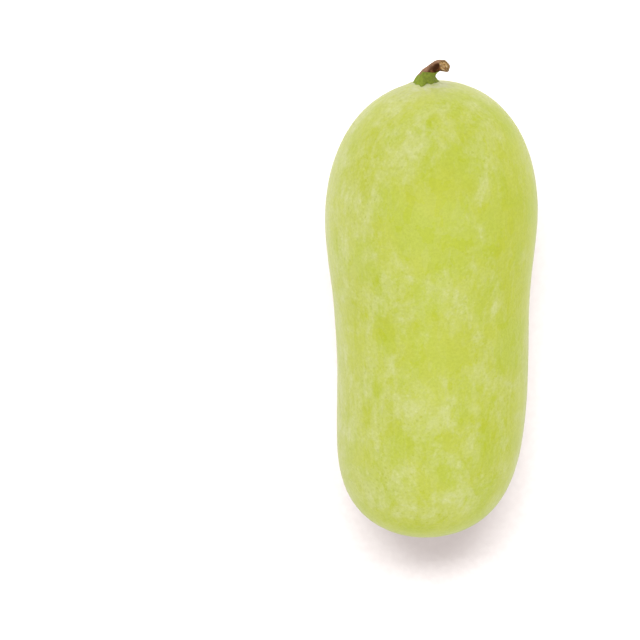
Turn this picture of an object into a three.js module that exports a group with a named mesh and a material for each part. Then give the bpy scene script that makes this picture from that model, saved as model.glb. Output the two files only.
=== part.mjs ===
// A small wax gourd with the stub of its stem, as picked, lying on its side.
// Millimetres. +Z is up and z = 0 is the table. +Y runs out through the stem.
// The origin is the middle of the underside of the box around the whole object.
import * as THREE from "three";

// Body: a blunt-ended round, thick at the stem end and slimmer past a faint waist.
const LENGTH = 288.5; // stem end to blossom end, without the stem
const SHOULDER_RADIUS = 66.2; // of the thick end, before it rounds off
const BELLY_RADIUS = 58.3; // of the slimmer end, in the same way
const STEM_END_POWER = 3.86; // bluntness of each end: 2 is an ellipse
const BLOSSOM_END_POWER = 5.6;
const WAIST_AT = 0.372; // share of the length where the shoulder is half gone
const WAIST_SKEW = 0.014; // it goes sooner than that on the +X side
const WAIST_SOFTNESS = 0.055; // share of the length that the change takes
const OVAL = 0.985; // height over width, from lying on one side as it grew
const LOBE = 0.006; // how far the three seed chambers show in the outline
const LOBE_TURN = 0.5; // radians
const BEND = -2.2; // the blossom end strays this far in X
const BOW = 2.7; // the belly strays this far the other way
const BOW_AT = 0.66; // share of the length where it strays most
const BOW_REACH = 0.2; // share of the length over which that fades
const APEX_SHIFT = -5.2; // the stem stands this far from the middle in X
const APEX_REACH = 0.0055; // share of the length over which that shift fades
const SHOULDER_LIFT = 1.95; // the +X shoulder reaches this much further along +Y
const SHOULDER_LIFT_FADE = 4; // how fast that dies away towards the blossom end

// Rest: the slim end sinks until shoulder and belly both touch the table.
const REST_LEAN = Math.tan(THREE.MathUtils.degToRad(2.6));
const REST_HEIGHT = 59.65; // of the centre line at half length

// Ends
const COLLAR_HEIGHT = 0.4; // the skin rises to meet the stem
const COLLAR_WIDTH = 11;
const SEAT_RADIUS = 8.4; // flat patch that carries the stem
const SCAR_DEPTH = 1.2; // dimple that the flower left
const SCAR_WIDTH = 7;

// Stem: it spreads onto its seat in lobes, bends to +X and turns its cut end up.
const STEM_GAP = 0.3; // between the stem and its seat
const STEM_RIBS = 5;
const STEM_RIB_DEPTH = 0.06; // share of the radius
const STEM_PATH = [
  [0.6, 0, 0],
  [1.1, 1.2, 0.1],
  [1.6, 2.6, 0.25],
  [2.15, 4.1, 0.5],
  [3.05, 5.6, 0.9],
  [4.25, 7.1, 1.5],
  [5.8, 8.6, 2.2],
  [7.8, 9.8, 2.9],
  [11.3, 9.9, 4.1],
];
const STEM_RADII = [6, 5.9, 5.4, 4.65, 3.8, 3.4, 3.25, 3.25, 3.35]; // at the points of the path
const FOOT_HEIGHT = 0.15; // share of the stem over which the lobes fade
const LEVEL_UNTIL = 0.3; // share of the stem by which its rings have tipped square to the path
const FOOT_LOBES = [
  // direction (0 towards +X, 90 up) and width in degrees, reach in millimetres
  [-10, 40, 2.7],
  [108, 13, 3.6],
  [132, 22, 2],
  [172, 30, 2.4],
  [215, 30, 1.6],
  [285, 35, 1.8],
];
const CUT_SLANT = 0.6; // the cut leans back this much for each step up
const CUT_TILT = 0.4; // and this much for each step along +Y
const CUT_SLANT_FROM = 0.6; // share of the stem where the lean sets in

// Facets
const FRUIT_SEGMENTS = 64;
const FRUIT_RINGS = 46;
const STEM_SEGMENTS = 48;
const STEM_STEPS = 24;

const UP = new THREE.Vector3(0, 0, 1);

// Radius of the body at share t of its length from the stem end. Angle 0 is
// towards +X and a quarter turn is up.
function bodyRadius(t, angle) {
  const power = t < 0.5 ? STEM_END_POWER : BLOSSOM_END_POWER;
  const ends = Math.sqrt(Math.max(0, 1 - Math.abs(2 * t - 1) ** power));
  const waistAt = WAIST_AT - WAIST_SKEW * Math.cos(angle);
  const shoulder = 1 / (1 + Math.exp((t - waistAt) / WAIST_SOFTNESS));
  const lobes = 1 + LOBE * Math.cos(3 * (angle - LOBE_TURN));
  return lobes * ends * (BELLY_RADIUS + (SHOULDER_RADIUS - BELLY_RADIUS) * shoulder);
}

function centreLine(t) {
  const bow = BOW * Math.exp(-(((t - BOW_AT) / BOW_REACH) ** 2));
  const apex = APEX_SHIFT * Math.exp(-((t / APEX_REACH) ** 2));
  const y = LENGTH * (0.5 - t);
  return new THREE.Vector3(BEND * t ** 3 + bow + apex, y, REST_HEIGHT + y * REST_LEAN);
}

// Where the centre line leaves the stem end, which is where the stem stands.
const SEAT = centreLine(0).setY(LENGTH / 2 + COLLAR_HEIGHT);

// A point of the skin.
function skinPoint(t, angle) {
  const centre = centreLine(t);
  const radius = bodyRadius(t, angle);
  const across = radius * Math.cos(angle);
  const up = radius * OVAL * Math.sin(angle);
  const point = new THREE.Vector3(centre.x + across, centre.y, centre.z + up);
  const lift = SHOULDER_LIFT * Math.exp(-SHOULDER_LIFT_FADE * t);
  point.y += (lift * across) / SHOULDER_RADIUS;
  if (t < 0.5) {
    const fromStem = Math.hypot(point.x - SEAT.x, point.z - SEAT.z);
    point.y += COLLAR_HEIGHT * Math.exp(-((fromStem / COLLAR_WIDTH) ** 2));
  } else {
    point.y += SCAR_DEPTH * Math.exp(-((radius / SCAR_WIDTH) ** 2));
  }
  point.z = Math.max(point.z, 0); // flat where it rests
  return point;
}

// A closed solid from rings of points, with a fan over each end.
function closedRings(rings, startCentre, endCentre) {
  const count = rings[0].length;
  const points = [...rings.flat(), startCentre, endCentre];
  const start = points.length - 2;
  const end = points.length - 1;
  const faces = [];
  for (let k = 0; k < count; k++) {
    const next = (k + 1) % count;
    faces.push(start, next, k);
    for (let i = 0; i + 1 < rings.length; i++) {
      const near = i * count;
      const far = near + count;
      faces.push(near + k, near + next, far + next);
      faces.push(near + k, far + next, far + k);
    }
    const last = (rings.length - 1) * count;
    faces.push(end, last + k, last + next);
  }
  const geometry = new THREE.BufferGeometry().setFromPoints(points);
  geometry.setIndex(faces);
  geometry.computeVertexNormals();
  return geometry;
}

// Share of the length at which the body is as wide as the stem's seat.
function seatShare() {
  let low = 0;
  let high = 0.1;
  for (let i = 0; i < 40; i++) {
    const middle = (low + high) / 2;
    if (bodyRadius(middle, 0) < SEAT_RADIUS) low = middle;
    else high = middle;
  }
  return high;
}

function fruitGeometry() {
  const first = seatShare();
  const rings = [];
  for (let i = 0; i < FRUIT_RINGS; i++) {
    const eased = (1 - Math.cos((Math.PI * i) / FRUIT_RINGS)) / 2;
    const t = first + (1 - first) * eased;
    const ring = [];
    for (let k = 0; k < FRUIT_SEGMENTS; k++) {
      // Half a step round, so that a face and not an edge is lowest.
      const angle = (2 * Math.PI * (k + 0.5)) / FRUIT_SEGMENTS;
      const point = skinPoint(t, angle);
      if (i === 0) point.y = SEAT.y;
      ring.push(point);
    }
    rings.push(ring);
  }
  return closedRings(rings, SEAT.clone(), skinPoint(1, 0));
}

// Value at share s of a list of evenly spaced values.
function valueAt(values, s) {
  const place = Math.min(s, 0.999999) * (values.length - 1);
  const i = Math.floor(place);
  return THREE.MathUtils.lerp(values[i], values[i + 1], place - i);
}

// How far the lobes of the foot reach out at an angle round the stem.
function footReach(angle) {
  let reach = 0;
  for (const [direction, width, lobe] of FOOT_LOBES) {
    const off = 1 - Math.cos(angle - THREE.MathUtils.degToRad(direction));
    reach += lobe * Math.exp((-2 * off) / THREE.MathUtils.degToRad(width) ** 2);
  }
  return reach;
}

// One ring of the stem at share s of its length. Angle 0 starts at the foot
// towards +X and a quarter turn is up.
function stemRing(path, s) {
  const centre = path.getPointAt(s);
  const tangent = path.getTangentAt(s);
  const side = new THREE.Vector3().crossVectors(tangent, UP).normalize();
  const above = new THREE.Vector3().crossVectors(side, tangent);
  const slanted = THREE.MathUtils.smoothstep(s, CUT_SLANT_FROM, 1);
  const spread = Math.exp(-((s / FOOT_HEIGHT) ** 2));
  const tipped = THREE.MathUtils.smoothstep(s, 0, LEVEL_UNTIL);
  const bare = valueAt(STEM_RADII, path.getUtoTmapping(s));
  const ring = [];
  for (let k = 0; k < STEM_SEGMENTS; k++) {
    const angle = (-2 * Math.PI * k) / STEM_SEGMENTS; // the other way round, as it grows to +Y
    const rib = 1 + STEM_RIB_DEPTH * Math.cos(STEM_RIBS * angle);
    const radius = bare * rib + spread * footReach(angle);
    const out = side.clone().multiplyScalar(radius * Math.cos(angle));
    out.addScaledVector(above, radius * Math.sin(angle));
    out.y *= tipped;
    const lean = slanted * (CUT_SLANT * out.z + CUT_TILT * out.y);
    ring.push(centre.clone().add(out).addScaledVector(tangent, -lean));
  }
  return ring;
}

function stemGeometry() {
  const points = STEM_PATH.map(([x, y, z]) => new THREE.Vector3(x, y, z));
  const path = new THREE.CatmullRomCurve3(points);
  const rings = [];
  for (let i = 0; i <= STEM_STEPS; i++) rings.push(stemRing(path, i / STEM_STEPS));
  return closedRings(rings, points[0], points.at(-1));
}

const fruit = new THREE.Mesh(
  fruitGeometry(),
  new THREE.MeshStandardMaterial({ color: 0xc9d267, roughness: 0.55, metalness: 0 }),
);
fruit.name = "fruit";

const stem = new THREE.Mesh(
  stemGeometry(),
  new THREE.MeshStandardMaterial({ color: 0x6f7a35, roughness: 0.8, metalness: 0 }),
);
stem.name = "stem";
stem.position.copy(SEAT);
stem.position.y += STEM_GAP;

const gourd = new THREE.Group();
gourd.name = "wax_gourd";
gourd.add(fruit, stem);

// Put the origin in the middle of the underside.
const middle = new THREE.Box3().setFromObject(gourd).getCenter(new THREE.Vector3());
gourd.position.set(-middle.x, -middle.y, 0);

export default gourd;
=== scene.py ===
"""The looks of a small wax gourd with the stub of its stem, as picked, lying on its side.

Laid out as a Blender add-on and run as a script. Metres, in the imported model's frame:
+Z is up, z = 0 is the table and +Y runs out through the stem.
"""

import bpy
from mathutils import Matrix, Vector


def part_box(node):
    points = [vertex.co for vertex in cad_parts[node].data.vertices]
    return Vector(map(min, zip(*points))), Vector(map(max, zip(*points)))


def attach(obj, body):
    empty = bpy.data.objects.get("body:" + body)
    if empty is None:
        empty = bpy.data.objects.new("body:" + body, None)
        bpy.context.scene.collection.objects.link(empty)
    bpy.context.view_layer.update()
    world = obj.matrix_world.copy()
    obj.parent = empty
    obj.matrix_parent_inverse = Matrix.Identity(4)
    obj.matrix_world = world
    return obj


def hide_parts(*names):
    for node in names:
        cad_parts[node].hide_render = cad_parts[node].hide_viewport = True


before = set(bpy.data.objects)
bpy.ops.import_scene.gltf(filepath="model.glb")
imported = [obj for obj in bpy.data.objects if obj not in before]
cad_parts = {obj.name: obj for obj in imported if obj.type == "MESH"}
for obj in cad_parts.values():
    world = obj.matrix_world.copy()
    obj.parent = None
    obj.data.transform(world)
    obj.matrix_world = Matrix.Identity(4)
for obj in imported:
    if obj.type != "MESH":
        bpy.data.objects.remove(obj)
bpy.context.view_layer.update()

import math

import bpy
from bpy.props import FloatProperty, FloatVectorProperty, IntProperty, PointerProperty
from mathutils import Matrix, Vector

bl_info = {
    "name": "Wax gourd",
    "version": (1, 0, 0),
    "blender": (4, 5, 0),
    "location": "3D View > Sidebar > Gourd",
    "description": "Builds a wax gourd, its stem and a pale studio around them",
    "category": "Add Mesh",
}

MM = 0.001
ROOT = "root"
MIDDLE_HEIGHT = 0.065  # of the gourd's middle, which the lamps and the camera face
FLOOR_REACH = 6.0  # from the middle of the floor to its edge

# Middle line of the stem from its seat, with its radius at each point, in millimetres.
STEM_PATH = (
    (0.6, 0, 0, 6.0),
    (1.1, 1.2, 0.1, 5.9),
    (1.6, 2.6, 0.25, 5.4),
    (2.15, 4.1, 0.5, 4.6),
    (3.05, 5.6, 0.9, 3.8),
    (4.25, 7.1, 1.5, 3.4),
    (5.8, 8.6, 2.2, 3.25),
    (7.8, 9.8, 2.9, 3.25),
    (11.3, 9.9, 4.1, 3.35),
)

STEM_RIBS = 5

# Share of the stem over which its foot fades, and that of the thin toe that lies on the skin.
FOOT_FADE = 0.15
TOE_FADE = 0.06

# Lobes of the foot: direction (0 towards +X, 90 up) and width in degrees, reach in millimetres.
FOOT_LOBES = (
    (-10, 40, 2.7, FOOT_FADE),
    (108, 13, 3.6, FOOT_FADE),
    (132, 22, 2.0, FOOT_FADE),
    (170, 28, 3.9, FOOT_FADE),
    (174, 22, 2.2, TOE_FADE),
    (215, 30, 1.6, FOOT_FADE),
    (285, 35, 1.8, FOOT_FADE),
)

# Creases that run in to each end of the fruit: how many, and their reach in millimetres.
STEM_CREASES = (9, 19)
SCAR_CREASES = (7, 14)

# Height of the upper side, and where the bloom on it has worn off (above 0) or lies thick
# (below 0): X, Y and reach, all in millimetres, and how much.
BLOOM_HEIGHT = 120
BLOOM_SPOTS = (
    (10, 98, 15, 0.9),
    (32, 122, 14, 1.5),
    (-18, 74, 16, 1.5),
    (-34, 62, 9, 1.0),
    (2, 84, 12, 1.6),
    (42, 62, 18, 1.0),
    (-6, -16, 18, 1.1),
    (4, 0, 12, 0.7),
    (27, -20, 9, 0.2),
    (27, -58, 18, 0.25),
    (-5, 52, 13, 1.4),
    (10, 50, 10, 0.6),
    (-41, 92, 6, 1.3),
    (-16, 32, 12, 0.8),
    (-32, -5, 12, 0.6),
    (-15, 106, 11, -0.9),
    (-28, 86, 8, -0.6),
    (20, 82, 8, -0.4),
    (2, 27, 9, -0.8),
    (-20, 10, 9, -0.6),
    (28, 8, 10, -0.6),
    (-34, 132, 16, -0.8),
    (-42, 112, 13, -1.4),
    (-48, 74, 15, -0.8),
    (-36, 44, 10, -0.2),
    (22, -38, 12, -0.4),
)

# Layers of the bloom: shift of the pattern, spacing in millimetres, stretch, detail, roughness,
# distortion, lower and upper edge, and how far wear moves both edges.
BLOOM_LAYERS = (
    ((0.7, 0.4, 0.9), 19.0, 1.3, 6.0, 0.62, 0.4, 0.41, 0.60, 1.0),  # clouds
    ((0.3, 0.6, 0.5), 12.0, 1.5, 4.0, 0.55, 0.4, 0.48, 0.54, 0.7),  # patches with clear edges
    ((0.2, 0.8, 0.5), 6.5, 1.4, 4.0, 0.60, 1.0, 0.45, 0.58, 0.5),  # curls
    ((0.8, 0.1, 0.4), 6.0, 3.0, 3.0, 0.60, 0.0, 0.49, 0.59, 0.3),  # dabs
    ((0.2, 0.4, 0.8), 9.5, 1.3, 4.0, 0.55, 0.3, 0.59, 0.64, -0.4),  # rubbed spots
)


# ---------------------------------------------------------------- settings

def size(name, millimetres, description):
    """A length that is written in millimetres and kept in metres."""
    return FloatProperty(
        name=name,
        description=description,
        default=millimetres * MM,
        precision=5,
        unit="LENGTH",
    )


def number(name, value, description):
    return FloatProperty(name=name, description=description, default=value, precision=4)


def angle(name, degrees, description):
    return FloatProperty(
        name=name,
        description=description,
        default=math.radians(degrees),
        subtype="ANGLE",
    )


def count(name, value, description):
    return IntProperty(name=name, description=description, default=value, min=1)


def linear(channel):
    """A display channel from 0 to 255 as the linear value that shaders use."""
    share = channel / 255
    return share / 12.92 if share <= 0.04045 else ((share + 0.055) / 1.055) ** 2.4


def colour(name, red, green, blue, description):
    return FloatVectorProperty(
        name=name,
        description=description,
        default=(linear(red), linear(green), linear(blue), 1.0),
        subtype="COLOR",
        size=4,
        min=0.0,
        max=1.0,
    )


class FruitSizes(bpy.types.PropertyGroup):
    """Sizes of the fruit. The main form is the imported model's, and the relief is added here."""

    length: size("Length", 288.5, "Stem end to blossom end, without the stem")
    shoulder_radius: size("Shoulder Radius", 66.2, "Of the thick end")
    belly_radius: size("Belly Radius", 58.3, "Of the slimmer end")
    stem_end_power: number("Stem End Power", 3.86, "Bluntness: 2 is an ellipse")
    blossom_end_power: number("Blossom End Power", 5.6, "Bluntness: 2 is an ellipse")
    waist_at: number("Waist At", 0.372, "Share of the length where the shoulder is half gone")
    waist_skew: number("Waist Skew", 0.014, "It goes sooner than that on the +X side")
    waist_softness: number("Waist Softness", 0.055, "Share of the length that the change takes")
    oval: number("Oval", 0.985, "Height over width")
    lobe: number("Lobe", 0.006, "How far the three seed chambers show in the outline")
    lobe_turn: angle("Lobe Turn", 28.65, "Where round the body the first lobe is")
    bend: size("Bend", -2.2, "How far the blossom end strays in X")
    bow: size("Bow", 2.7, "How far the belly strays the other way")
    bow_at: number("Bow At", 0.66, "Share of the length where it strays most")
    bow_reach: number("Bow Reach", 0.2, "Share of the length over which that fades")
    apex_shift: size("Apex Shift", -5.2, "How far from the middle the stem stands in X")
    apex_reach: number("Apex Reach", 0.0055, "Share of the length over which that fades")
    shoulder_lift: size("Shoulder Lift", 1.95, "The +X shoulder reaches this much further")
    shoulder_lift_fade: number("Shoulder Lift Fade", 4.0, "How fast that dies away")
    rest_lean: angle("Rest Lean", 2.6, "How far the slim end sinks until it touches")
    rest_height: size("Rest Height", 59.65, "Of the centre line at half length")
    middle: size("Middle", 0.235, "From the middle of the box to the fruit's middle line, in X")
    collar_height: size("Collar Height", 0.4, "Rise of the skin to meet the stem")
    collar_width: size("Collar Width", 11, "Reach of that rise")
    scar_depth: size("Scar Depth", 1.6, "Dimple that the flower left")
    scar_width: size("Scar Width", 7, "Reach of the dimple")
    swell_height: size("Swell Height", 0.8, "Slow unevenness of the skin")
    swell_spacing: size("Swell Spacing", 62, "Distance between slow swells")
    lump_height: size("Lump Height", 0.22, "Small unevenness of the skin")
    lump_spacing: size("Lump Spacing", 15, "Distance between small lumps")
    furrow_depth: size("Furrow Depth", 0.35, "Faint furrows from stem to blossom end")
    pucker_depth: size("Pucker Depth", 0.35, "Creases that run in to the stem and to the scar")
    segments: count("Segments", 352, "Faces round the body")
    rings: count("Rings", 264, "Faces along the body")


class StemSizes(bpy.types.PropertyGroup):
    """Sizes of the stem's surface. Its middle line is STEM_PATH."""

    sink: size("Sink", 0.7, "How deep the foot reaches into the skin")
    rib_depth_foot: number("Rib Depth At Foot", 0.07, "Share of the radius")
    rib_depth_tip: number("Rib Depth At Tip", 0.05, "Share of the radius")
    rib_twist: angle("Rib Twist", 25, "Turn of the ribs from foot to cut")
    rib_turn: angle("Rib Turn", 56, "Where round the foot the first rib stands")
    foot_ragged: size("Foot Ragged", 0.8, "How uneven the edge of the foot is")
    foot_height: size("Foot Height", 2.2, "Height over which the foot spreads")
    dry_from: size("Dry From", 6.1, "Height above the foot where the dried part begins")
    dry_edge: size("Dry Edge", 0.5, "Height over which green turns to brown")
    dry_streak: number("Dry Streak", 0.8, "Dryness of the streak down the outermost line")
    wrinkle_depth: size("Wrinkle Depth", 0.5, "Of the dried part")
    cut_slant: number("Cut Slant", 0.6, "How far the cut leans back for each step up")
    cut_tilt: number("Cut Tilt", 0.4, "How far it leans back for each step along +Y")
    cut_slant_from: number("Cut Slant From", 0.6, "Share of the stem where the lean sets in")
    rim_height: size("Rim Height", 0.12, "Of the curled edge round the cut")
    cut_hollow: size("Cut Hollow", 0.7, "How far the pith has sunk below the edge")
    segments: count("Segments", 120, "Faces round the stem")
    steps: count("Steps", 150, "Faces along the stem")
    cap_rings: count("Cap Rings", 16, "Rings of faces across the cut")


class ScarSizes(bpy.types.PropertyGroup):
    """Sizes of the corky button that the flower left."""

    radius: size("Radius", 4.6, "Of the button")
    thickness: size("Thickness", 1.5, "From the bottom of the button to its rim")
    lift: size("Lift", 0.15, "How far its centre stands out from the bottom of the dimple")
    proud: size("Proud", 0.35, "Rise of the rim over the middle")
    nub_height: size("Nub Height", 1.1, "Of the dry point in the middle")
    nub_radius: size("Nub Radius", 1.1, "Of the dry point in the middle")
    crack_depth: size("Crack Depth", 0.35, "Of the cracks that run outwards")
    segments: count("Segments", 96, "Faces round the button")
    cap_rings: count("Cap Rings", 28, "Rings of faces across the button")


class Finishes(bpy.types.PropertyGroup):
    """Colours of the gourd and how strongly its bloom shows."""

    skin_deep: colour("Skin Deep", 192, 201, 36, "Bare skin where it is greenest")
    skin_light: colour("Skin Light", 199, 207, 66, "Bare skin where it is palest")
    skin_green: colour("Skin Green", 187, 202, 42, "Patches of bare skin that stayed greener")
    bloom: colour("Bloom", 215, 219, 148, "Dusty wax over the skin")
    crust: colour("Crust", 220, 222, 172, "Crumbs of pale skin round the foot of the stem")
    collar: colour("Collar", 210, 212, 146, "Skin next to the stem")
    ground_spot: colour("Ground Spot", 226, 222, 158, "Skin that lay on the ground")
    stalk_green: colour("Stalk Green", 141, 155, 57, "Fresh part of the stem")
    # Painted light: the fresh part's -X side, most on its ribs.
    stalk_bright: colour("Stalk Bright", 154, 176, 53, "Ribs of the fresh part")
    stalk_dark: colour("Stalk Dark", 109, 123, 47, "Foot and grooves of the fresh part")
    bark: colour("Bark", 104, 56, 14, "Dried part of the stem")
    # Painted light on the dried neck's back and -X side, partly real ridges; also a real tone in
    # the cork.
    bark_light: colour("Bark Light", 188, 148, 118, "Ridges of the dried part")
    bark_dark: colour("Bark Dark", 58, 27, 9, "Spots and grooves of the dried part")
    wood_ring: colour("Wood Ring", 92, 78, 44, "Ring of wood round the pith")
    pith: colour("Pith", 200, 162, 106, "Cut face of the stem")
    pith_pale: colour("Pith Pale", 232, 206, 168, "Fibres of the cut face")
    cork: colour("Cork", 158, 126, 74, "Scar at the blossom end")
    cork_dark: colour("Cork Dark", 84, 58, 32, "Cracks of that scar")
    bloom_amount: number("Bloom Amount", 1.0, "How much of the skin the bloom hides")


class StageSettings(bpy.types.PropertyGroup):
    """The floor, the lights and the camera."""

    floor: colour("Floor", 112, 111, 110, "Colour of the floor")
    floor_glow: number("Floor Glow", 0.45, "Glow that the floor shows to the camera alone")
    glow_tint: colour("Glow Tint", 255, 238, 235, "Colour of that light")
    sky: number("Sky", 0.79, "Light from all round")
    key: number("Key", 3.8, "Watts of the wide lamp straight above the gourd")
    floor_key: number("Floor Key", 540.0, "Watts of the lamp that lights the floor alone")
    camera_tilt: angle("Camera Tilt", 17, "From straight down towards the stem end")
    camera_distance: size("Camera Distance", 1500, "From the gourd's middle")
    view_width: size("View Width", 388, "Width of the view at the gourd's middle")
    aim_across: size("Aim Across", -66.6, "Middle of the view in X, from the gourd's middle")
    aim_along: size("Aim Along", -10.0, "Middle of the view in Y, from the gourd's middle")


class GourdSettings(bpy.types.PropertyGroup):
    """Everything that a user would change."""

    fruit: PointerProperty(type=FruitSizes)
    stem: PointerProperty(type=StemSizes)
    scar: PointerProperty(type=ScarSizes)
    finishes: PointerProperty(type=Finishes)
    stage: PointerProperty(type=StageSettings)


# ---------------------------------------------------------------- node trees

class Field:
    """A number that a node puts out. Arithmetic on fields adds Math nodes."""

    def __init__(self, nodes, socket):
        self.nodes = nodes
        self.socket = socket

    def math(self, operation, *others):
        node = self.nodes.tree.nodes.new("ShaderNodeMath")
        node.operation = operation
        for slot, value in zip(node.inputs, (self, *others)):
            self.nodes.feed(slot, value)
        return Field(self.nodes, node.outputs[0])

    def __add__(self, other):
        return self.math("ADD", other)

    def __sub__(self, other):
        return self.math("SUBTRACT", other)

    def __mul__(self, other):
        return self.math("MULTIPLY", other)

    def __truediv__(self, other):
        return self.math("DIVIDE", other)

    def __pow__(self, other):
        return self.math("POWER", other)

    def __neg__(self):
        return self * -1.0

    def __rsub__(self, other):
        return -self + other

    def __rtruediv__(self, other):
        return self ** -1.0 * other

    __radd__ = __add__
    __rmul__ = __mul__

    def sqrt(self):
        return self.math("SQRT")

    def exp(self):
        return self.math("EXPONENT")

    def cos(self):
        return self.math("COSINE")

    def sin(self):
        return self.math("SINE")

    def at_least(self, low):
        return self.math("MAXIMUM", low)

    def at_most(self, high):
        return self.math("MINIMUM", high)

    def bell(self, width):
        """1 where the field is 0, dying away over the width."""
        ratio = self / width
        return (-(ratio * ratio)).exp()

    def smooth(self, low, high):
        """0 below low, 1 above high and an even curve between them."""
        node = self.nodes.add(
            "ShaderNodeMapRange",
            {"Value": self, "From Min": low, "From Max": high},
            interpolation_type="SMOOTHSTEP",
        )
        return Field(self.nodes, node.outputs["Result"])


class Nodes:
    """Adds nodes to one tree. A value is a number, a vector, a field or a node's output."""

    def __init__(self, tree):
        self.tree = tree

    def add(self, kind, values=None, **settings):
        node = self.tree.nodes.new(kind)
        for name, setting in settings.items():
            setattr(node, name, setting)
        for name, value in (values or {}).items():
            self.feed(node.inputs[name], value)
        return node

    def feed(self, socket, value):
        if isinstance(value, Field):
            value = value.socket
        if isinstance(value, bpy.types.NodeSocket):
            self.tree.links.new(value, socket)
        else:
            socket.default_value = value

    def field(self, kind, values=None, output=0, **settings):
        return Field(self, self.add(kind, values, **settings).outputs[output])

    def vector(self, x, y, z):
        return self.add("ShaderNodeCombineXYZ", {"X": x, "Y": y, "Z": z}).outputs[0]

    def split(self, vector):
        parts = self.add("ShaderNodeSeparateXYZ", {"Vector": vector}).outputs
        return [Field(self, part) for part in parts]

    def vectors(self, operation, *values):
        node = self.tree.nodes.new("ShaderNodeVectorMath")
        node.operation = operation
        for slot, value in zip(node.inputs, values):
            self.feed(slot, value)
        return node.outputs[0]

    def scaled(self, vector, factor):
        node = self.add("ShaderNodeVectorMath", {"Scale": factor}, operation="SCALE")
        self.feed(node.inputs[0], vector)
        return node.outputs[0]

    def noise(self, place, spacing, detail=2.0, roughness=0.5, distortion=0.0):
        """Even noise from 0 to 1, a half on average, with its features about a spacing apart."""
        values = {
            "Vector": self.scaled(place, 1.0 / spacing),
            "Scale": 1.0,
            "Detail": detail,
            "Roughness": roughness,
            "Distortion": distortion,
        }
        return self.field("ShaderNodeTexNoise", values)

    def mix(self, share, first, second, blend="MIX"):
        node = self.tree.nodes.new("ShaderNodeMix")
        node.data_type = "RGBA"
        node.blend_type = blend
        self.feed(node.inputs[0], share)
        self.feed(node.inputs[6], first)
        self.feed(node.inputs[7], second)
        return node.outputs[2]


class Shape(Nodes):
    """A Geometry Nodes tree whose number inputs are the properties of a settings group."""

    def __init__(self, name, settings):
        tree = bpy.data.node_groups.new(name, "GeometryNodeTree")
        super().__init__(tree)
        face = tree.interface
        self.values = {}
        face.new_socket("Geometry", in_out="INPUT", socket_type="NodeSocketGeometry")
        face.new_socket("Geometry", in_out="OUTPUT", socket_type="NodeSocketGeometry")
        for prop in settings.bl_rna.properties:
            if prop.type not in ("FLOAT", "INT"):
                continue
            kind = "NodeSocketInt" if prop.type == "INT" else "NodeSocketFloat"
            socket = face.new_socket(prop.name, in_out="INPUT", socket_type=kind)
            self.values[socket.identifier] = getattr(settings, prop.identifier)
        self.material_id = self.new_input("Material", "NodeSocketMaterial")
        self.group_in = tree.nodes.new("NodeGroupInput")

    def new_input(self, name, kind):
        socket = self.tree.interface.new_socket(name, in_out="INPUT", socket_type=kind)
        return socket.identifier

    def given(self, name):
        return Field(self, self.group_in.outputs[name])

    def position(self):
        return self.add("GeometryNodeInputPosition").outputs[0]

    def normal(self):
        return self.add("GeometryNodeInputNormal").outputs[0]

    def moved(self, geometry, position=None, offset=None):
        node = self.add("GeometryNodeSetPosition", {"Geometry": geometry})
        if position is not None:
            self.feed(node.inputs["Position"], position)
        if offset is not None:
            self.feed(node.inputs["Offset"], offset)
        return node.outputs[0]

    def rod(self, steps):
        """A closed cylinder of radius 1 and depth 1, and where each of its points is."""
        values = {
            "Vertices": self.given("Segments"),
            "Side Segments": steps,
            "Fill Segments": self.given("Cap Rings"),
            "Radius": 1.0,
            "Depth": 1.0,
        }
        rod = self.add("GeometryNodeMeshCylinder", values, fill_type="TRIANGLE_FAN")
        x, y, z = self.split(self.position())
        inward = (x * x + y * y).sqrt().at_most(1.0)
        return rod.outputs["Mesh"], (x, y, z), inward, y.math("ARCTAN2", x)

    def stored(self, geometry, **marks):
        """Keeps values at every point, for later nodes and for the material."""
        for name, value in marks.items():
            values = {"Geometry": geometry, "Name": name}
            node = self.add("GeometryNodeStoreNamedAttribute", values, domain="POINT")
            self.feed(node.inputs["Value"], value)
            geometry = node.outputs[0]
        return geometry

    def kept(self, name):
        return self.field("GeometryNodeInputNamedAttribute", {"Name": name}, "Attribute")

    def finish(self, geometry):
        """Smooth shading, Realize Instances and Set Material end every tree."""
        smooth = self.add("GeometryNodeSetShadeSmooth", {"Geometry": geometry})
        real = self.add("GeometryNodeRealizeInstances", {"Geometry": smooth.outputs[0]})
        painted = self.add("GeometryNodeSetMaterial", {"Geometry": real.outputs[0]})
        self.feed(painted.inputs["Material"], self.group_in.outputs["Material"])
        out = self.tree.nodes.new("NodeGroupOutput")
        self.feed(out.inputs[0], painted.outputs[0])

    def build(self, name, host, material):
        """Runs the tree on the host mesh and returns the result as a plain object."""
        piece = bpy.data.objects.new(name, host)
        bpy.context.scene.collection.objects.link(piece)
        modifier = piece.modifiers.new("Shape", "NODES")
        modifier.node_group = self.tree
        for identifier, value in self.values.items():
            modifier[identifier] = value
        modifier[self.material_id] = material
        graph = bpy.context.evaluated_depsgraph_get()
        mesh = bpy.data.meshes.new_from_object(
            piece.evaluated_get(graph), preserve_all_data_layers=True, depsgraph=graph
        )
        piece.modifiers.remove(modifier)
        piece.data = mesh
        mesh.name = name
        if not mesh.polygons:
            raise RuntimeError(f"{name} came out empty")
        return piece


# ---------------------------------------------------------------- shared shader groups

def shader_group(name, inputs, outputs):
    """An empty shader group with float and vector inputs and float outputs."""
    tree = bpy.data.node_groups.new(name, "ShaderNodeTree")
    for socket, value in inputs.items():
        kind = "NodeSocketVector" if value is None else "NodeSocketFloat"
        made = tree.interface.new_socket(socket, in_out="INPUT", socket_type=kind)
        if value is not None:
            made.default_value = value
    for socket in outputs:
        tree.interface.new_socket(socket, in_out="OUTPUT", socket_type="NodeSocketFloat")
    nodes = Nodes(tree)
    group_in = tree.nodes.new("NodeGroupInput")
    group_out = tree.nodes.new("NodeGroupOutput")
    return nodes, group_in.outputs, group_out.inputs


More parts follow.
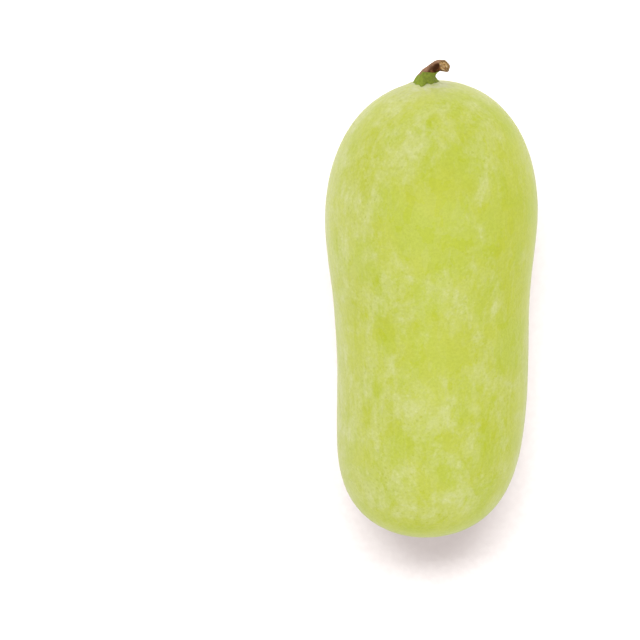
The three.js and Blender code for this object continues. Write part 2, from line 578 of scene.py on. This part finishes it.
def clouds_group():
    """Soft patches. Stretch draws them out along Y, and Low and High set their edges."""
    inputs = {
        "Place": None,
        "Spacing": 0.02,
        "Stretch": 1.0,
        "Detail": 3.0,
        "Roughness": 0.5,
        "Distortion": 0.0,
        "Low": 0.4,
        "High": 0.6,
    }
    nodes, given, out = shader_group("Clouds", inputs, ["Mask"])
    x, y, z = nodes.split(given["Place"])
    place = nodes.vector(x, y / given["Stretch"], z)
    spacing = Field(nodes, given["Spacing"])
    noise = nodes.field(
        "ShaderNodeTexNoise",
        {
            "Vector": nodes.scaled(place, 1.0 / spacing),
            "Scale": 1.0,
            "Detail": given["Detail"],
            "Roughness": given["Roughness"],
            "Distortion": given["Distortion"],
        },
    )
    nodes.feed(out["Mask"], noise.smooth(given["Low"], given["High"]))
    return nodes.tree


def specks_group():
    """Round specks. Radius is a share of the spacing, and Chance is how many there are."""
    inputs = {
        "Place": None,
        "Spacing": 0.004,
        "Stretch": 1.0,
        "Radius": 0.25,
        "Softness": 0.1,
        "Chance": 0.5,
    }
    nodes, given, out = shader_group("Specks", inputs, ["Mask"])
    x, y, z = nodes.split(given["Place"])
    place = nodes.vector(x, y / given["Stretch"], z)
    spacing = Field(nodes, given["Spacing"])
    cells = nodes.add(
        "ShaderNodeTexVoronoi", {"Vector": nodes.scaled(place, 1.0 / spacing), "Scale": 1.0}
    )
    luck = nodes.split(cells.outputs["Color"])
    distance = Field(nodes, cells.outputs["Distance"])
    edge = Field(nodes, given["Radius"]) * (0.5 + luck[1])
    dot = 1.0 - distance.smooth(edge - given["Softness"], edge + given["Softness"])
    chosen = 1.0 - luck[0].math("GREATER_THAN", given["Chance"])
    nodes.feed(out["Mask"], dot * chosen)
    return nodes.tree


class Paint(Nodes):
    """The node tree of one material."""

    def __init__(self, name):
        self.material = bpy.data.materials.new(name)
        self.material.use_nodes = True
        super().__init__(self.material.node_tree)
        self.shader = self.tree.nodes["Principled BSDF"]
        self.place = self.add("ShaderNodeTexCoord").outputs["Object"]

    def shared(self, maker, name, **values):
        """One of the shared groups, made once for all materials."""
        tree = bpy.data.node_groups.get(name) or maker()
        node = self.tree.nodes.new("ShaderNodeGroup")
        node.node_tree = tree
        self.feed(node.inputs["Place"], values.pop("Place", self.place))
        for socket, value in values.items():
            self.feed(node.inputs[socket], value)
        return Field(self, node.outputs["Mask"])

    def clouds(self, **values):
        return self.shared(clouds_group, "Clouds", **values)

    def specks(self, **values):
        return self.shared(specks_group, "Specks", **values)

    def layer(self, worn, shift, spacing, stretch, detail, roughness, distortion, low, high, wear):
        """A layer of bloom, whose edges move with the wear."""
        return self.clouds(
            Place=self.shifted(*shift),
            Spacing=spacing * MM,
            Stretch=stretch,
            Detail=detail,
            Roughness=roughness,
            Distortion=distortion,
            Low=worn * wear + low,
            High=worn * wear + high,
        )

    def kept(self, name):
        """A value that the shape's tree kept at every point."""
        return self.field("ShaderNodeAttribute", output="Fac", attribute_name=name)

    def shifted(self, x, y, z):
        """Object coordinates moved, so that a second pattern doesn't repeat the first."""
        return self.vectors("ADD", self.place, (x, y, z))

    def wander(self, spacing, reach):
        """Object coordinates that stray up to about a reach, for edges that aren't round."""
        values = {"Vector": self.place, "Scale": 1.0 / spacing, "Detail": 3.0}
        cloud = self.add("ShaderNodeTexNoise", values).outputs["Color"]
        stray = self.scaled(self.vectors("SUBTRACT", cloud, (0.5, 0.5, 0.5)), reach)
        return self.vectors("ADD", self.place, stray)

    def distance(self, place, point):
        node = self.add("ShaderNodeVectorMath", operation="DISTANCE")
        self.feed(node.inputs[0], place)
        self.feed(node.inputs[1], point)
        return Field(self, node.outputs["Value"])

    def bump(self, height, distance):
        return self.add("ShaderNodeBump", {"Height": height, "Distance": distance}).outputs[0]

    def surface(self, **values):
        for name, value in values.items():
            self.feed(self.shader.inputs[name.replace("_", " ")], value)
        return self.material


# ---------------------------------------------------------------- materials

def skin_material(paint_box):
    """Yellow-green skin under patchy, dusty wax, paler at the stem and on the ground side."""
    paint = Paint("gourd_skin")
    x, y, z = paint.split(paint.place)

    # Bare skin, in slow patches and faint streaks along the fruit.
    patches = paint.clouds(Spacing=0.030, Stretch=1.3, Detail=3.0, Low=0.36, High=0.62)
    streaks = paint.clouds(
        Place=paint.shifted(0.3, 0.1, 0.2), Spacing=0.007, Stretch=6.0, Detail=3.0,
        Low=0.35, High=0.65,
    )
    tone = patches * 0.65 + streaks * 0.35
    bare = paint.mix(tone, paint_box.skin_deep, paint_box.skin_light)
    greener = paint.clouds(
        Place=paint.shifted(0.9, 0.7, 0.3), Spacing=0.024, Stretch=1.3, Detail=4.0,
        Low=0.45, High=0.60,
    )
    bare = paint.mix(greener * 0.5, bare, paint_box.skin_green)

    # Bloom: a thin veil, thicker clouds with clear edges, curls, and bare rubbed spots.
    veil = paint.clouds(
        Place=paint.shifted(0.6, 0.9, 0.2), Spacing=0.045, Detail=2.0, Low=0.35, High=0.65
    )
    # Painted sheen: the bloom is made thickest low on the flanks, partly real bloom and partly the
    # pale sheen at the outline.
    flank_sheen = z.smooth(0.092, 0.058) * y.smooth(-0.140, -0.100)
    belly = y.smooth(0.010, -0.050)
    worn = (x - 0.047).bell(0.013) * (0.13 - belly * 0.05) - belly * 0.015 - flank_sheen * 0.05
    # Painted shade: the bloom is thinned towards the blossom end, which darkens the sheen there.
    worn = worn + y.smooth(-0.118, -0.140) * 0.32
    wander = paint.wander(0.018, 0.016)
    for spot_x, spot_y, reach, amount in BLOOM_SPOTS:
        centre = (spot_x * MM, spot_y * MM, BLOOM_HEIGHT * MM)
        worn = worn + paint.distance(wander, centre).bell(reach * MM) * (amount * 0.15)
    cloud, patch, curls, dabs, rubbed = (paint.layer(worn, *row) for row in BLOOM_LAYERS)
    scuffs = paint.clouds(
        Place=paint.shifted(0.4, 0.3, 0.7), Spacing=0.0032, Stretch=11.0, Detail=3.0,
        Roughness=0.5, Low=0.52, High=0.64,
    )
    dust = paint.clouds(
        Place=paint.shifted(0.5, 0.6, 0.1), Spacing=0.0017, Detail=2.0, Roughness=0.6,
        Low=0.32, High=0.68,
    )
    crumbs = paint.specks(Spacing=0.0026, Radius=0.26, Softness=0.06, Chance=0.45)
    pores = paint.specks(
        Place=paint.shifted(0.1, 0.5, 0.3), Spacing=0.0025, Radius=0.24, Softness=0.06, Chance=0.45
    )
    thin = 0.08 + veil * 0.04 + cloud * 0.22 + patch * (0.05 + cloud * 0.13)
    thin = thin + curls * (0.03 + cloud * 0.12) + dabs * (0.12 + cloud * 0.05) + flank_sheen * 0.22
    # Partly painted light: the bloom is also made thicker on the -X side, which makes that side
    # paler.
    thin = thin + (0.0 - worn).smooth(0.04, 0.18) * 0.12 + x.smooth(-0.030, -0.050) * 0.07
    thin = thin - scuffs * z.smooth(0.118, 0.100) * 0.10 - rubbed * 0.13
    thin = thin - x.smooth(0.028, 0.050) * y.smooth(-0.020, 0.020) * 0.06
    grainy = (0.2 + cloud * 0.6) * (dust - 0.5) * 0.10
    grainy = grainy + (0.15 + cloud * 0.85) * (crumbs * 0.14 - pores * 0.12)
    bloom = ((thin + grainy) * paint_box.bloom_amount).at_least(0.0).at_most(1.0)
    colour_now = paint.mix(bloom, bare, paint_box.bloom)

    # Collar and crumbs at the stem, both thinner on its -X side as painted shade there, and the
    # spot that lay on the ground.
    from_stem = paint.kept("from_stem")
    shade_beside_stem = (x + 0.0045).smooth(-0.003, -0.016)
    collar = from_stem.smooth(0.030, 0.008) * (0.40 + curls * 0.30 - shade_beside_stem * 0.42)
    colour_now = paint.mix(collar, colour_now, paint_box.collar)
    crust = from_stem.smooth(0.017, 0.011) * (0.35 + curls * 0.5 - shade_beside_stem * 0.50)
    colour_now = paint.mix(crust, colour_now, paint_box.crust)
    ground = (z + cloud * 0.010).smooth(0.022, 0.004) * 0.7
    colour_now = paint.mix(ground, colour_now, paint_box.ground_spot)

    # Fine grain and pores in every part of the skin.
    grain = paint.noise(paint.place, 0.0009, detail=2.0, roughness=0.6)
    shade = 0.905 + grain * 0.14 + dust * 0.06 - pores * (0.02 + cloud * 0.04) + crumbs * 0.02
    # Painted shade: the skin just -X of the stem is darkened.
    shade = shade - shade_beside_stem * from_stem.smooth(0.030, 0.014) * 0.07
    shading = paint.vector(shade, shade, shade)
    colour_now = paint.mix(1.0, colour_now, shading, blend="MULTIPLY")

    height = grain * 0.35 + dust * 0.35 + bloom * 0.6 - pores * 0.25
    return paint.surface(
        Base_Color=colour_now,
        Roughness=0.40 + bloom * 0.22,
        Normal=paint.bump(height, 0.00012),
        Specular_IOR_Level=0.45,
        Sheen_Weight=0.22,
        Sheen_Roughness=0.35,
        Subsurface_Weight=0.12,
        Subsurface_Radius=(0.9, 1.0, 0.35),
        Subsurface_Scale=0.003,
    )


def stalk_material(paint_box):
    """Ribbed green foot, dried brown neck and a pale fibrous cut."""
    paint = Paint("gourd_stalk")
    along = paint.kept("along")
    rib = paint.kept("rib")
    cut = paint.kept("cut")
    edge = paint.clouds(Spacing=0.0022, Detail=4.0, Roughness=0.65, Low=0.25, High=0.75)

    inward = paint.kept("inward")
    x, y, z = paint.split(paint.place)

    # Green foot with painted light: brightest low on the -X side, most on its ribs.
    mottle = paint.clouds(
        Place=paint.shifted(0.1, 0.2, 0.3), Spacing=0.0014, Stretch=1.6, Detail=4.0,
        Roughness=0.65, Low=0.38, High=0.62,
    )
    fresh = paint.mix(mottle * 0.7, paint_box.stalk_green, paint_box.stalk_dark)
    bright = (x * -1.0 - along * 0.02).smooth(-0.002, 0.011) * (0.5 + rib * 0.3)
    fresh = paint.mix(bright, fresh, paint_box.stalk_bright)
    foot = (along + edge * 0.10).smooth(0.14, 0.05) * edge.smooth(0.35, 0.65) * 0.7
    fresh = paint.mix(foot, fresh, paint_box.stalk_dark)

    # Dried neck: pale along the back and the -X side, partly real ridges and partly painted light
    # on the sides that face the light, with dark blotches, fewer on those lit sides.
    fibres = paint.clouds(
        Place=paint.shifted(0.4, 0.1, 0.6), Spacing=0.0012, Stretch=1.5, Detail=5.0,
        Roughness=0.65, Low=0.35, High=0.65,
    )
    ridge = paint.kept("ridge").smooth(0.25, 0.9)
    dried = paint.mix(fibres * 0.15 + ridge * 0.68, paint_box.bark, paint_box.bark_light)
    spots = paint.clouds(
        Place=paint.shifted(0.9, 0.3, 0.2), Spacing=0.0030, Detail=4.0, Low=0.42, High=0.58
    )
    dried = paint.mix(spots * (0.9 - ridge * 0.75), dried, paint_box.bark_dark)

    dryness = paint.kept("dry")
    colour_now = paint.mix((dryness + (edge - 0.5) * 0.5).smooth(0.40, 0.60), fresh, dried)

    # Cut face: pith with pale bundles and dark cracks inside a dark, woody ring.
    bundles = paint.specks(Spacing=0.0013, Radius=0.34, Softness=0.14, Chance=0.45)
    cracks = paint.clouds(
        Place=paint.shifted(0.3, 0.5, 0.8), Spacing=0.0018, Stretch=1.0, Detail=4.0,
        Distortion=1.0, Low=0.50, High=0.62,
    )
    face = paint.mix(bundles, paint_box.pith, paint_box.pith_pale)
    face = paint.mix(cracks * 0.75, face, paint_box.bark)
    face = paint.mix((inward - 0.80).bell(0.07) * 0.85, face, paint_box.wood_ring)
    colour_now = paint.mix(cut, colour_now, face)

    height = fibres * 0.6 + edge * 0.4 + bundles * cut * 0.5
    return paint.surface(
        Base_Color=colour_now,
        Roughness=0.62 + dryness * 0.2,
        Normal=paint.bump(height, 0.00022),
        Specular_IOR_Level=0.12,
    )


def cork_material(paint_box):
    """Dry, cracked cork of the flower's scar."""
    paint = Paint("gourd_cork")
    grain = paint.clouds(Spacing=0.0011, Detail=5.0, Roughness=0.65, Low=0.3, High=0.7)
    crack = paint.kept("crack")
    colour_now = paint.mix(grain * 0.5, paint_box.cork, paint_box.bark_light)
    colour_now = paint.mix((crack + grain * 0.25).at_most(1.0), colour_now, paint_box.cork_dark)
    return paint.surface(
        Base_Color=colour_now,
        Roughness=0.85 - grain * 0.1,
        Normal=paint.bump(grain, 0.0002),
        Specular_IOR_Level=0.25,
    )


def floor_material(stage):
    """Matt grey sheet with a faint tooth. A glow that only the camera sees makes it pale."""
    paint = Paint("studio_floor")
    tooth = paint.clouds(Spacing=0.004, Detail=3.0, Low=0.3, High=0.7)
    white = paint.mix(tooth * 0.02, stage.floor, (1.0, 1.0, 1.0, 1.0))
    # Only camera rays see the glow, so it adds nothing to the light on the gourd.
    seen = paint.field("ShaderNodeLightPath", output="Is Camera Ray")
    return paint.surface(
        Base_Color=white,
        Roughness=0.9,
        Specular_IOR_Level=0.0,
        Emission_Color=stage.glow_tint,
        Emission_Strength=seen * stage.floor_glow,
    )


# ---------------------------------------------------------------- shapes

def empty_host(name):
    return bpy.data.meshes.new(name + "_host")


def shift_mesh(piece, offset):
    piece.data.transform(Matrix.Translation(offset))


def fruit_shape(sizes):
    """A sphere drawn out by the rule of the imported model, then given its relief."""
    shape = Shape("Gourd fruit", sizes)
    given = shape.given
    ball = shape.add(
        "GeometryNodeMeshUVSphere",
        {"Segments": given("Segments"), "Rings": given("Rings"), "Radius": 1.0},
    )
    x, y, z = shape.split(shape.position())
    share = (1.0 - z) * 0.5
    around = y.math("ARCTAN2", x)

    # Radius of the body at this share of its length.
    near_stem = share.math("LESS_THAN", 0.5)
    power = near_stem * given("Stem End Power") + (1.0 - near_stem) * given("Blossom End Power")
    ends = (1.0 - (share * 2.0 - 1.0).math("ABSOLUTE") ** power).at_least(0.0).sqrt()
    waist_at = given("Waist At") - given("Waist Skew") * around.cos()
    shoulder = 1.0 / (1.0 + ((share - waist_at) / given("Waist Softness")).exp())
    lobes = 1.0 + given("Lobe") * ((around - given("Lobe Turn")) * 3.0).cos()
    belly = given("Belly Radius")
    radius = lobes * ends * (belly + (given("Shoulder Radius") - belly) * shoulder)

    # Centre line, and the point of the skin round it.
    slope = given("Rest Lean").math("TANGENT")
    bow = given("Bow") * (share - given("Bow At")).bell(given("Bow Reach"))
    apex = given("Apex Shift") * share.bell(given("Apex Reach"))
    centre_x = given("Bend") * share ** 3.0 + bow + apex
    centre_y = given("Length") * (0.5 - share)
    centre_z = given("Rest Height") + centre_y * slope
    across = radius * around.cos()
    up = radius * given("Oval") * around.sin()
    lift = given("Shoulder Lift") * (share * -given("Shoulder Lift Fade")).exp()

    # Distances from the stem and from the scar, made very large in the other half.
    seat_z = given("Rest Height") + given("Length") * 0.5 * slope
    side_x = centre_x + across - given("Apex Shift")
    side_z = centre_z + up - seat_z
    from_stem = (side_x * side_x + side_z * side_z).sqrt() + share.smooth(0.3, 0.5)
    from_scar = radius + (1.0 - share).smooth(0.3, 0.5)
    collar = given("Collar Height") * from_stem.bell(given("Collar Width"))
    dimple = given("Scar Depth") * from_scar.bell(given("Scar Width"))
    skin_y = centre_y + lift * across / given("Shoulder Radius") + collar + dimple
    point = shape.vector(centre_x + across, skin_y, centre_z + up)

    body = shape.stored(
        ball.outputs["Mesh"], share=share, around=around, from_stem=from_stem, from_scar=from_scar
    )
    body = shape.moved(body, position=point)
    body = shape.add("GeometryNodeFlipFaces", {"Mesh": body}).outputs[0]

    # Relief of the skin.
    here = shape.position()
    turn = shape.kept("around")
    swell = (shape.noise(here, given("Swell Spacing"), detail=1.0) - 0.5) * given("Swell Height")
    lump = (shape.noise(here, given("Lump Spacing"), detail=2.0) - 0.5) * given("Lump Height")
    ring = shape.vector(turn.cos(), shape.kept("share") * 0.5, turn.sin())
    furrow = (shape.noise(ring, 0.22, detail=2.0) - 0.5) * given("Furrow Depth")
    gap_x, _, gap_z = shape.split(here)
    stem_turn = (gap_z - seat_z).math("ARCTAN2", gap_x - given("Apex Shift"))
    wobble = (shape.noise(here, 0.02) - 0.5) * 5.0

    def creases(angle_here, distance, how_many, reach):
        return (angle_here * how_many + wobble).cos() * shape.kept(distance).bell(reach * MM)

    pucker = creases(stem_turn, "from_stem", *STEM_CREASES)
    pucker = pucker + creases(turn, "from_scar", *SCAR_CREASES)
    seat_fade = 1.0 - shape.kept("from_stem").bell(0.020)
    relief = (swell + furrow) * seat_fade + lump + pucker * given("Pucker Depth") * 0.5
    body = shape.moved(body, offset=shape.scaled(shape.normal(), relief))

    # The underside is pressed flat where it rests.
    flat_x, flat_y, flat_z = shape.split(shape.position())
    body = shape.moved(body, position=shape.vector(flat_x, flat_y, flat_z.at_least(0.0)))
    shape.finish(body)
    return shape


def middle_line(sizes):
    """From the middle of the fruit's own rule to the origin of the frame."""
    _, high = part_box("fruit")
    return Vector((sizes.middle, high.y - sizes.length / 2 - sizes.collar_height, 0.0))


def seat_point(sizes):
    """Where the middle line of the stem starts."""
    half = sizes.length / 2
    height = sizes.rest_height + half * math.tan(sizes.rest_lean)
    seat = Vector((sizes.apex_shift, half + sizes.collar_height, height))
    return seat + middle_line(sizes)


def stem_host():
    """The stem's middle line as a chain of edges that knows its radius at each point."""
    host = empty_host("stem")
    points = [Vector(row[:3]) * MM for row in STEM_PATH]
    edges = [(i, i + 1) for i in range(len(points) - 1)]
    host.from_pydata(points, edges, [])
    radii = host.attributes.new("radius_here", "FLOAT", "POINT")
    radii.data.foreach_set("value", [row[3] * MM for row in STEM_PATH])
    return host


def stem_shape(sizes):
    """A ribbed stalk swept along its middle line, with its foot laid on the skin."""
    shape = Shape("Gourd stem", sizes)
    skin_id = shape.new_input("Skin", "NodeSocketObject")
    seat_id = shape.new_input("Seat", "NodeSocketVector")
    given = shape.given
    line = shape.add("GeometryNodeMeshToCurve", {"Mesh": shape.group_in.outputs["Geometry"]})
    line = shape.add("GeometryNodeCurveSplineType", {"Curve": line.outputs[0]})
    line.spline_type = "CATMULL_ROM"
    line = shape.add(
        "GeometryNodeSetSplineResolution", {"Geometry": line.outputs[0], "Resolution": 24}
    )

    stalk, (x, y, z), inward, around = shape.rod(given("Steps"))
    along = (z + 0.5).at_least(0.0).at_most(1.0)
    sample = shape.add("GeometryNodeSampleCurve", {"Curves": line.outputs[0], "Factor": along})
    sample.mode = "FACTOR"
    sample.use_all_curves = True
    shape.feed(sample.inputs["Value"], shape.kept("radius_here"))
    radius = Field(shape, sample.outputs["Value"])
    tangent = sample.outputs["Tangent"]
    normal = sample.outputs["Normal"]
    side = shape.vectors("CROSS_PRODUCT", tangent, normal)

    # Ribs, a ragged foot, and wrinkles where the stalk has dried.
    rib_angle = (around + along * given("Rib Twist") + given("Rib Turn")) * STEM_RIBS
    rib = rib_angle.cos() * 0.5 + 0.5
    rib_depth = given("Rib Depth At Foot") * (1.0 - along) + given("Rib Depth At Tip") * along
    drum = shape.vector(around.cos(), along * 1.2, around.sin())
    normal_x, normal_y, normal_z = shape.split(normal)
    side_x, side_y, side_z = shape.split(side)
    outer = 0.0 - (normal_x * around.cos() + side_x * around.sin())
    _, line_y, _ = shape.split(sample.outputs["Position"])
    back = normal_y * around.cos() + side_y * around.sin()
    front = normal_z * around.cos() + side_z * around.sin()
    level = line_y + radius * inward * back
    level = level + (shape.noise(drum, 0.5, detail=3.0) - 0.5) * given("Dry Edge") * 3.0
    dry = level.smooth(
        given("Dry From") - given("Dry Edge"), given("Dry From") + given("Dry Edge")
    )
    streak = outer.smooth(0.84, 0.94) * along.smooth(0.14, 0.24) * given("Dry Streak")
    dry = dry.math("MAXIMUM", streak)
    # Painted light: the back and the -X side, which face the light, are marked to be painted
    # paler.
    ridge = back.math("MAXIMUM", outer)
    creases = (shape.noise(drum, 0.28, detail=3.0, roughness=0.6) - 0.5) * given("Wrinkle Depth")
    ragged = shape.noise(drum, 0.45, detail=3.0, roughness=0.6).smooth(0.3, 0.7)
    at_foot = along.bell(FOOT_FADE)
    flare = 0.0
    for direction, width, reach, fade in FOOT_LOBES:
        turn = math.radians(direction)
        off = 1.0 - (front * math.sin(turn) - outer * math.cos(turn))
        lobe = (off * (-2.0 / math.radians(width) ** 2)).exp() * (reach * MM)
        flare = lobe * along.bell(fade) + flare
    rim = along.smooth(0.95, 0.995) * given("Rim Height")
    swollen = radius * (1.0 + rib_depth * (rib - 0.5) * 2.0) + creases * (0.35 + dry * 0.65)
    swollen = swollen + flare + at_foot * (ragged - 0.5) * given("Foot Ragged") + rim
    cut = along.smooth(0.998, 1.0) * (1.0 - inward.smooth(0.88, 0.97))
    pits = (shape.noise(shape.vector(x, y, 0.0), 0.35, detail=3.0) - 0.5) * 0.0007
    sunk = along.smooth(0.998, 1.0) * (1.0 - inward ** 4.0) * (given("Cut Hollow") + pits)

    out = shape.vectors(
        "ADD",
        shape.scaled(normal, swollen * inward * around.cos()),
        shape.scaled(side, swollen * inward * around.sin()),
    )
    out_x, out_y, above_line = shape.split(out)
    out = shape.vector(out_x, out_y * along.smooth(0.0, 0.30), above_line)
    lean = given("Cut Slant") * above_line + given("Cut Tilt") * out_y
    slant = lean * along.smooth(given("Cut Slant From"), 1.0)
    point = shape.vectors("ADD", sample.outputs["Position"], out)
    point = shape.vectors("SUBTRACT", point, shape.scaled(tangent, sunk + slant))
    point = shape.vectors("ADD", point, shape.group_in.outputs["Seat"])

    stalk = shape.stored(
        stalk, along=along, rib=rib, dry=dry, cut=cut, ridge=ridge, inward=inward
    )
    stalk = shape.moved(stalk, position=point)

    # The foot follows the skin: each point drops as far as the skin has fallen below the seat.
    _, seat_y, _ = shape.split(shape.group_in.outputs["Seat"])
    here_x, here_y, here_z = shape.split(shape.position())
    skin = shape.add("GeometryNodeObjectInfo", {"Object": shape.group_in.outputs["Skin"]})
    above = shape.vector(here_x, seat_y + 0.02, here_z)
    ray = shape.add(
        "GeometryNodeRaycast",
        {
            "Target Geometry": skin.outputs["Geometry"],
            "Source Position": above,
            "Ray Direction": (0.0, -1.0, 0.0),
            "Ray Length": 0.1,
        },
    )
    _, skin_y, _ = shape.split(ray.outputs["Hit Position"])
    near_skin = (here_y - seat_y).at_least(0.0).bell(given("Foot Height"))
    drop = (skin_y - seat_y) * near_skin - given("Sink") * near_skin
    stalk = shape.moved(stalk, offset=shape.vector(0.0, drop, 0.0))
    shape.finish(stalk)
    return shape, skin_id, seat_id


def scar_shape(sizes):
    """A corky button with a raised rim, cracks that run outwards and a dry point."""
    shape = Shape("Flower scar", sizes)
    given = shape.given
    button, (x, y, z), inward, around = shape.rod(steps=4)
    top = z.smooth(-0.45, 0.5)
    drum = shape.vector(around.cos() * 2.0, around.sin() * 2.0, inward * 0.6)
    ragged = shape.noise(drum, 0.7, detail=3.0) - 0.5
    seams = shape.vector(around.cos() * 1.3, around.sin() * 1.3, inward * 1.5)
    crack = (1.0 - (shape.noise(seams, 0.5, detail=2.0) - 0.5).math("ABSOLUTE").smooth(0.0, 0.05))
    crack = crack * inward.smooth(0.15, 0.4) * (1.0 - inward.smooth(0.85, 1.0)) * top
    rim = (inward - 0.82).bell(0.14) * given("Proud") * (1.6 + ragged * 3.0)
    nub = (inward * given("Radius")).bell(given("Nub Radius")) * given("Nub Height")
    lumps = (shape.noise(shape.vector(x, y, z), 0.22, detail=3.0) - 0.5) * 0.0006
    out = given("Radius") * inward * (1.0 + ragged * 0.22) * (1.0 - (1.0 - top) * 0.25)
    height = given("Thickness") * z + top * (rim + nub + lumps - crack * given("Crack Depth"))
    # It faces -Y, so that its top is the outside.
    point = shape.vector(out * around.cos(), -height, out * around.sin())
    button = shape.stored(button, crack=crack)
    button = shape.moved(button, position=point)
    shape.finish(button)
    return shape


# ---------------------------------------------------------------- operators

def declare(piece, node):
    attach(piece, ROOT)
    if node:
        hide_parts(node)


class GOURD_OT_fruit(bpy.types.Operator):
    """Build the fruit with its relief and its waxy skin"""

    bl_idname = "gourd.fruit"
    bl_label = "Fruit"

    def execute(self, context):
        settings = context.scene.gourd
        shape = fruit_shape(settings.fruit)
        skin = skin_material(settings.finishes)
        fruit = shape.build("fruit_skin", empty_host("fruit"), skin)
        shift_mesh(fruit, middle_line(settings.fruit))
        declare(fruit, "fruit")
        return {"FINISHED"}


class GOURD_OT_stem(bpy.types.Operator):
    """Build the ribbed stub of the stem on the fruit's collar"""

    bl_idname = "gourd.stem"
    bl_label = "Stem"

    def execute(self, context):
        settings = context.scene.gourd
        fruit = bpy.data.objects["fruit_skin"]
        seat = seat_point(settings.fruit)
        shape, skin_id, seat_id = stem_shape(settings.stem)
        stalk = stalk_material(settings.finishes)
        shape.values.update({skin_id: fruit, seat_id: seat})
        stem = shape.build("stem_stub", stem_host(), stalk)
        declare(stem, "stem")
        return {"FINISHED"}


class GOURD_OT_scar(bpy.types.Operator):
    """Build the corky scar that the flower left"""

    bl_idname = "gourd.scar"
    bl_label = "Flower Scar"

    def execute(self, context):
        settings = context.scene.gourd
        sizes = settings.fruit
        half = sizes.length / 2
        height = sizes.rest_height - half * math.tan(sizes.rest_lean)
        across = sizes.bend + sizes.bow * math.exp(-(((1 - sizes.bow_at) / sizes.bow_reach) ** 2))
        apex = Vector((across, -half + sizes.scar_depth, height)) + middle_line(sizes)
        cork = cork_material(settings.finishes)
        scar = scar_shape(settings.scar).build("flower_scar", empty_host("scar"), cork)
        shift_mesh(scar, apex - Vector((0.0, settings.scar.lift, 0.0)))
        declare(scar, None)
        return {"FINISHED"}


class GOURD_OT_stage(bpy.types.Operator):
    """Build the floor, the lights and the camera"""

    bl_idname = "gourd.stage"
    bl_label = "Stage"

    def execute(self, context):
        stage = context.scene.gourd.stage
        scene = context.scene
        scene.view_settings.view_transform = "Standard"

        mesh = bpy.data.meshes.new("studio_floor")
        signs = ((-1, -1), (1, -1), (1, 1), (-1, 1))
        corners = [(FLOOR_REACH * x, FLOOR_REACH * y, 0) for x, y in signs]
        mesh.from_pydata(corners, [], [(0, 1, 2, 3)])
        mesh.materials.append(floor_material(stage))
        floor = bpy.data.objects.new("studio_floor", mesh)
        scene.collection.objects.link(floor)

        world = bpy.data.worlds.new("studio_sky")
        world.use_nodes = True
        world.node_tree.nodes["Background"].inputs["Color"].default_value = (1, 1, 1, 1)
        world.node_tree.nodes["Background"].inputs["Strength"].default_value = stage.sky
        scene.world = world

        # A wide panel above the gourd, and one past its stem end that lights the floor alone.
        middle = Vector((0.0, 0.0, MIDDLE_HEIGHT))
        self.lamp(scene, "key_lamp", middle, (-0.02, 0.05, 1.2), (1.0, 1.0), stage.key)
        over_floor = self.lamp(
            scene, "floor_lamp", middle, (-0.22, 1.60, 2.15), (1.9, 0.8), stage.floor_key
        )
        lit = bpy.data.collections.new("lit_by_floor_lamp")
        lit.objects.link(floor)
        over_floor.light_linking.receiver_collection = lit

        width = stage.view_width / stage.camera_distance
        camera_data = bpy.data.cameras.new("studio_camera")
        camera_data.sensor_width = 36.0
        camera_data.lens = 36.0 / width
        camera = bpy.data.objects.new("studio_camera", camera_data)
        aim = Vector((stage.aim_across, stage.aim_along, MIDDLE_HEIGHT))
        back = Vector((0.0, math.sin(stage.camera_tilt), math.cos(stage.camera_tilt)))
        camera.location = aim + back * stage.camera_distance
        camera.rotation_euler = (-stage.camera_tilt, 0.0, 0.0)
        scene.collection.objects.link(camera)
        scene.camera = camera
        return {"FINISHED"}

    def lamp(self, scene, name, middle, direction, panel, watts):
        """A soft light panel, so wide and so high, that faces the gourd."""
        data = bpy.data.lights.new(name, "AREA")
        data.shape = "RECTANGLE"
        data.size, data.size_y = panel
        data.energy = watts
        lamp = bpy.data.objects.new(name, data)
        lamp.location = middle + Vector(direction)
        lamp.rotation_euler = Vector(direction).to_track_quat("Z", "Y").to_euler()
        scene.collection.objects.link(lamp)
        return lamp


class GOURD_PT_panel(bpy.types.Panel):
    """Lists the pieces of the gourd and the stage"""

    bl_idname = "GOURD_PT_panel"
    bl_label = "Wax Gourd"
    bl_space_type = "VIEW_3D"
    bl_region_type = "UI"
    bl_category = "Gourd"

    def draw(self, context):
        for operator in OPERATORS:
            self.layout.operator(operator.bl_idname)


SETTINGS = (FruitSizes, StemSizes, ScarSizes, Finishes, StageSettings, GourdSettings)
OPERATORS = (GOURD_OT_fruit, GOURD_OT_stem, GOURD_OT_scar, GOURD_OT_stage)
CLASSES = (*SETTINGS, *OPERATORS, GOURD_PT_panel)


def register():
    for cls in CLASSES:
        bpy.utils.register_class(cls)
    bpy.types.Scene.gourd = PointerProperty(type=GourdSettings)


def unregister():
    del bpy.types.Scene.gourd
    for cls in reversed(CLASSES):
        bpy.utils.unregister_class(cls)


def main():
    register()
    bpy.ops.gourd.fruit()
    bpy.ops.gourd.stem()
    bpy.ops.gourd.scar()
    bpy.ops.gourd.stage()


if __name__ == "__main__":
    main()
